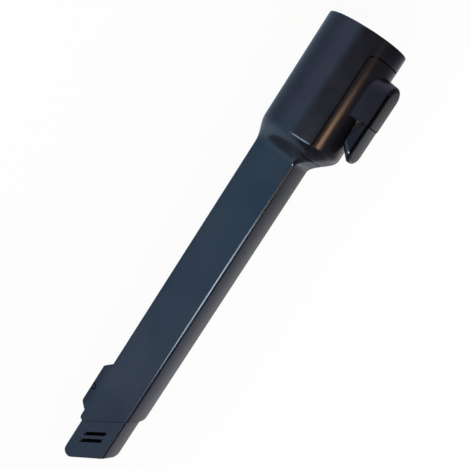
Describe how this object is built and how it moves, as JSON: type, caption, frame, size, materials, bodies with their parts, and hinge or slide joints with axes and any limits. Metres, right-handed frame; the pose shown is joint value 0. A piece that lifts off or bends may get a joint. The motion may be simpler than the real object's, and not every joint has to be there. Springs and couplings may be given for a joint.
{
  "type": "telescopic crevice tool",
  "caption": "Telescopic crevice tool of a stick vacuum cleaner: round socket collar with a release lever, flat tube with a slanted end, and a narrow nozzle that slides out of it",
  "frame": {"origin": "the centre of the round socket's mouth, in the plane of its rim", "axes": "+X runs along the tool from the socket's mouth to the slanted tip, +Z points from the socket's axis to the release lever, and -Y to the wide face that has the two bleed slots"},
  "size_m": [0.3087, 0.05, 0.06],
  "materials": {
    "satin_plastic": "dark navy grey moulded plastic with a satin surface",
    "gloss_plastic": "dark navy grey moulded plastic, smooth and a little glossier",
    "black_plastic": "black moulded plastic, matt",
    "rubber": "soft black rubber",
    "steel": "drawn steel wire and pin"
  },
  "bodies": {
    "housing": {"outer_body": "satin_plastic", "latch_cover": "gloss_plastic", "lever_pin": "steel", "lever_spring": "steel", "socket_sleeve": "black_plastic", "socket_seal": "rubber", "lock_pin": "steel", "lock_spring": "steel"},
    "lever": {"release_lever": "satin_plastic"},
    "nozzle": {"sliding_nozzle": "satin_plastic", "nozzle_guide": "black_plastic", "nozzle_seal": "rubber"},
    "button": {"lock_button": "black_plastic"}
  },
  "joints": [
    {"name": "release_lever", "type": "hinge", "parent": "housing", "child": "lever", "pos_m": [0.031, 0, 0.0295], "axis": [0, 1, 0], "range_deg": [0, 6], "stiffness_Nm_per_rad": 0.25, "springref_deg": -8.59, "deforming": ["lever_spring"]},
    {"name": "nozzle_slide", "type": "slide", "parent": "housing", "child": "nozzle", "axis": [1, 0, 0], "range_m": [0, 0.14]},
    {"name": "lock_button", "type": "hinge", "parent": "housing", "child": "button", "pos_m": [0.2624, 0, -0.0226], "axis": [0, -1, 0], "range_deg": [0, 7], "stiffness_Nm_per_rad": 0.1, "springref_deg": -5.73, "deforming": ["lock_spring"]}
  ]
}
